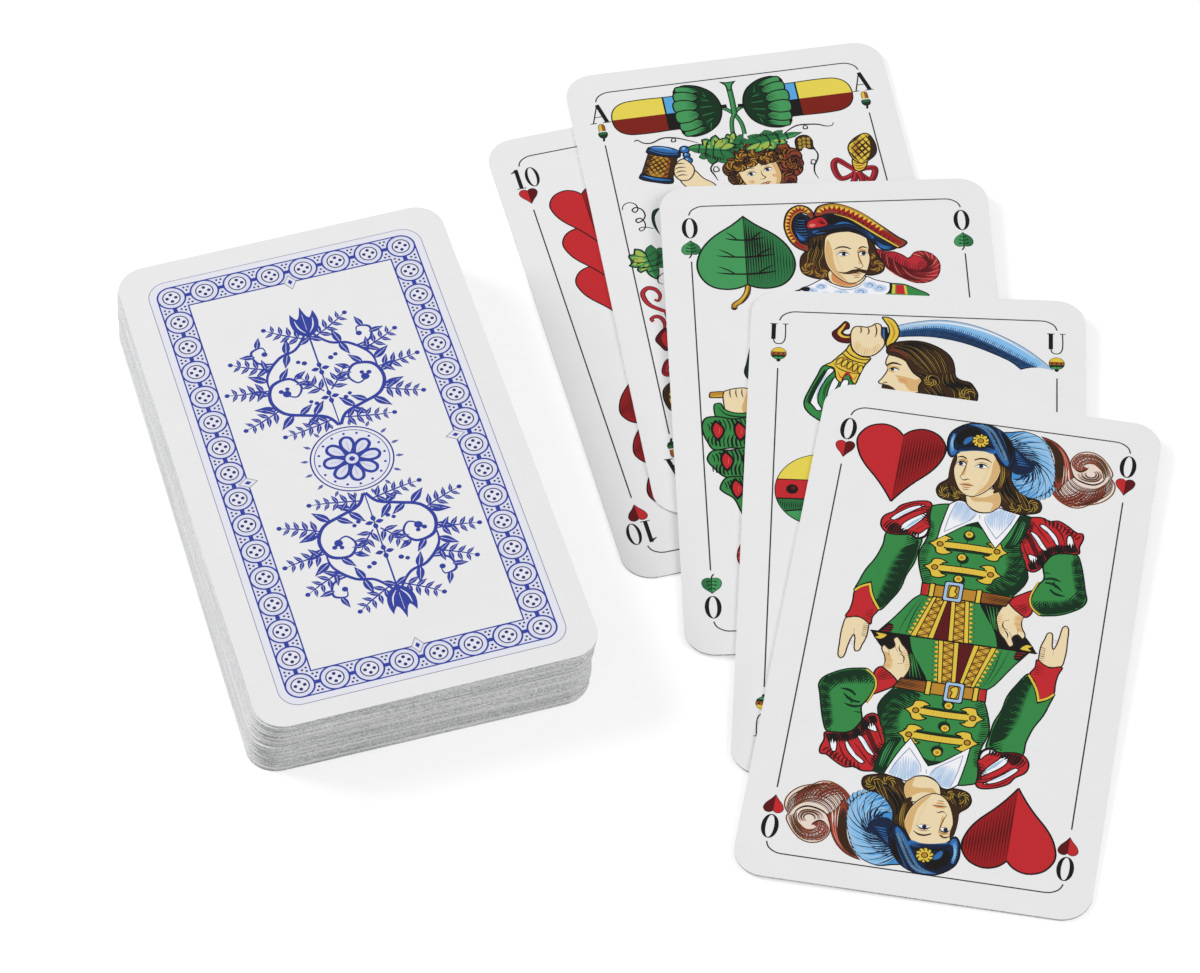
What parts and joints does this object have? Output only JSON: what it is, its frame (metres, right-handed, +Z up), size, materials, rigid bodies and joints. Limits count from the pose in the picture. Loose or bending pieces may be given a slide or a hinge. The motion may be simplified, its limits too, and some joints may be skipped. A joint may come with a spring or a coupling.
{
  "type": "schafkopf card deck",
  "caption": "German-suited playing card deck for schafkopf: a squared face-down stack with a face-up fan beside it, every card a separate round-cornered sheet that slides out.",
  "frame": {"origin": "middle of the stack's underside, on the table", "axes": "+Z up from the table, +Y along the stack's long side away from the player, +X towards the fan"},
  "size_m": [0.1592, 0.1929, 0.0107],
  "materials": {
    "card_stock": "satin lacquered card stock, printed both sides"
  },
  "bodies": {
    "acorns_seven": {"acorns_seven": "card_stock"},
    "acorns_eight": {"acorns_eight": "card_stock"},
    "acorns_nine": {"acorns_nine": "card_stock"},
    "acorns_ten": {"acorns_ten": "card_stock"},
    "acorns_unter": {"acorns_unter": "card_stock"},
    "acorns_ober": {"acorns_ober": "card_stock"},
    "acorns_king": {"acorns_king": "card_stock"},
    "acorns_ace": {"acorns_ace": "card_stock"},
    "leaves_seven": {"leaves_seven": "card_stock"},
    "leaves_eight": {"leaves_eight": "card_stock"},
    "leaves_nine": {"leaves_nine": "card_stock"},
    "leaves_ten": {"leaves_ten": "card_stock"},
    "leaves_unter": {"leaves_unter": "card_stock"},
    "leaves_ober": {"leaves_ober": "card_stock"},
    "leaves_king": {"leaves_king": "card_stock"},
    "leaves_ace": {"leaves_ace": "card_stock"},
    "hearts_seven": {"hearts_seven": "card_stock"},
    "hearts_eight": {"hearts_eight": "card_stock"},
    "hearts_nine": {"hearts_nine": "card_stock"},
    "hearts_ten": {"hearts_ten": "card_stock"},
    "hearts_unter": {"hearts_unter": "card_stock"},
    "hearts_ober": {"hearts_ober": "card_stock"},
    "hearts_king": {"hearts_king": "card_stock"},
    "hearts_ace": {"hearts_ace": "card_stock"},
    "bells_seven": {"bells_seven": "card_stock"},
    "bells_eight": {"bells_eight": "card_stock"},
    "bells_nine": {"bells_nine": "card_stock"},
    "bells_ten": {"bells_ten": "card_stock"},
    "bells_unter": {"bells_unter": "card_stock"},
    "bells_ober": {"bells_ober": "card_stock"},
    "bells_king": {"bells_king": "card_stock"},
    "bells_ace": {"bells_ace": "card_stock"}
  },
  "joints": [
    {"name": "leaves_ten_draw", "type": "slide", "parent": "acorns_seven", "child": "leaves_ten", "axis": [0, -1, 0], "range_m": [0, 0.105]},
    {"name": "bells_seven_draw", "type": "slide", "parent": "acorns_seven", "child": "bells_seven", "axis": [0, -1, 0], "range_m": [0, 0.105]},
    {"name": "acorns_ten_draw", "type": "slide", "parent": "acorns_seven", "child": "acorns_ten", "axis": [0, -1, 0], "range_m": [0, 0.105]},
    {"name": "leaves_ace_draw", "type": "slide", "parent": "acorns_seven", "child": "leaves_ace", "axis": [0, -1, 0], "range_m": [0, 0.105]},
    {"name": "bells_ten_draw", "type": "slide", "parent": "acorns_seven", "child": "bells_ten", "axis": [0, -1, 0], "range_m": [0, 0.105]},
    {"name": "acorns_king_draw", "type": "slide", "parent": "acorns_seven", "child": "acorns_king", "axis": [0, -1, 0], "range_m": [0, 0.105]},
    {"name": "hearts_nine_draw", "type": "slide", "parent": "acorns_seven", "child": "hearts_nine", "axis": [0, -1, 0], "range_m": [0, 0.105]},
    {"name": "bells_ace_draw", "type": "slide", "parent": "acorns_seven", "child": "bells_ace", "axis": [0, -1, 0], "range_m": [0, 0.105]},
    {"name": "leaves_nine_draw", "type": "slide", "parent": "acorns_seven", "child": "leaves_nine", "axis": [0, -1, 0], "range_m": [0, 0.105]},
    {"name": "hearts_ace_draw", "type": "slide", "parent": "acorns_seven", "child": "hearts_ace", "axis": [0, -1, 0], "range_m": [0, 0.105]},
    {"name": "acorns_nine_draw", "type": "slide", "parent": "acorns_seven", "child": "acorns_nine", "axis": [0, -1, 0], "range_m": [0, 0.105]},
    {"name": "leaves_king_draw", "type": "slide", "parent": "acorns_seven", "child": "leaves_king", "axis": [0, -1, 0], "range_m": [0, 0.105]},
    {"name": "bells_nine_draw", "type": "slide", "parent": "acorns_seven", "child": "bells_nine", "axis": [0, -1, 0], "range_m": [0, 0.105]},
    {"name": "acorns_ober_draw", "type": "slide", "parent": "acorns_seven", "child": "acorns_ober", "axis": [0, -1, 0], "range_m": [0, 0.105]},
    {"name": "hearts_eight_draw", "type": "slide", "parent": "acorns_seven", "child": "hearts_eight", "axis": [0, -1, 0], "range_m": [0, 0.105]},
    {"name": "bells_king_draw", "type": "slide", "parent": "acorns_seven", "child": "bells_king", "axis": [0, -1, 0], "range_m": [0, 0.105]},
    {"name": "leaves_eight_draw", "type": "slide", "parent": "acorns_seven", "child": "leaves_eight", "axis": [0, -1, 0], "range_m": [0, 0.105]},
    {"name": "hearts_king_draw", "type": "slide", "parent": "acorns_seven", "child": "hearts_king", "axis": [0, -1, 0], "range_m": [0, 0.105]},
    {"name": "acorns_eight_draw", "type": "slide", "parent": "acorns_seven", "child": "acorns_eight", "axis": [0, -1, 0], "range_m": [0, 0.105]},
    {"name": "leaves_unter_draw", "type": "slide", "parent": "acorns_seven", "child": "leaves_unter", "axis": [0, -1, 0], "range_m": [0, 0.105]},
    {"name": "bells_eight_draw", "type": "slide", "parent": "acorns_seven", "child": "bells_eight", "axis": [0, -1, 0], "range_m": [0, 0.105]},
    {"name": "acorns_unter_draw", "type": "slide", "parent": "acorns_seven", "child": "acorns_unter", "axis": [0, -1, 0], "range_m": [0, 0.105]},
    {"name": "hearts_seven_draw", "type": "slide", "parent": "acorns_seven", "child": "hearts_seven", "axis": [0, -1, 0], "range_m": [0, 0.105]},
    {"name": "bells_ober_draw", "type": "slide", "parent": "acorns_seven", "child": "bells_ober", "axis": [0, -1, 0], "range_m": [0, 0.105]},
    {"name": "leaves_seven_draw", "type": "slide", "parent": "acorns_seven", "child": "leaves_seven", "axis": [0, -1, 0], "range_m": [0, 0.105]},
    {"name": "hearts_unter_draw", "type": "slide", "parent": "acorns_seven", "child": "hearts_unter", "axis": [0, -1, 0], "range_m": [0, 0.105]},
    {"name": "hearts_ten_draw", "type": "slide", "parent": "acorns_seven", "child": "hearts_ten", "axis": [0.0262, 0.9997, 0], "range_m": [0, 0.105]},
    {"name": "acorns_ace_draw", "type": "slide", "parent": "acorns_seven", "child": "acorns_ace", "axis": [0.1184, 0.993, 0], "range_m": [0, 0.105]},
    {"name": "leaves_ober_draw", "type": "slide", "parent": "acorns_seven", "child": "leaves_ober", "axis": [0.2402, 0.9706, 0.017], "range_m": [0, 0.105]},
    {"name": "bells_unter_draw", "type": "slide", "parent": "acorns_seven", "child": "bells_unter", "axis": [0.3256, 0.9454, 0.0165], "range_m": [0, 0.105]},
    {"name": "hearts_ober_draw", "type": "slide", "parent": "acorns_seven", "child": "hearts_ober", "axis": [0.4431, 0.8963, 0.0157], "range_m": [0, 0.105]}
  ]
}
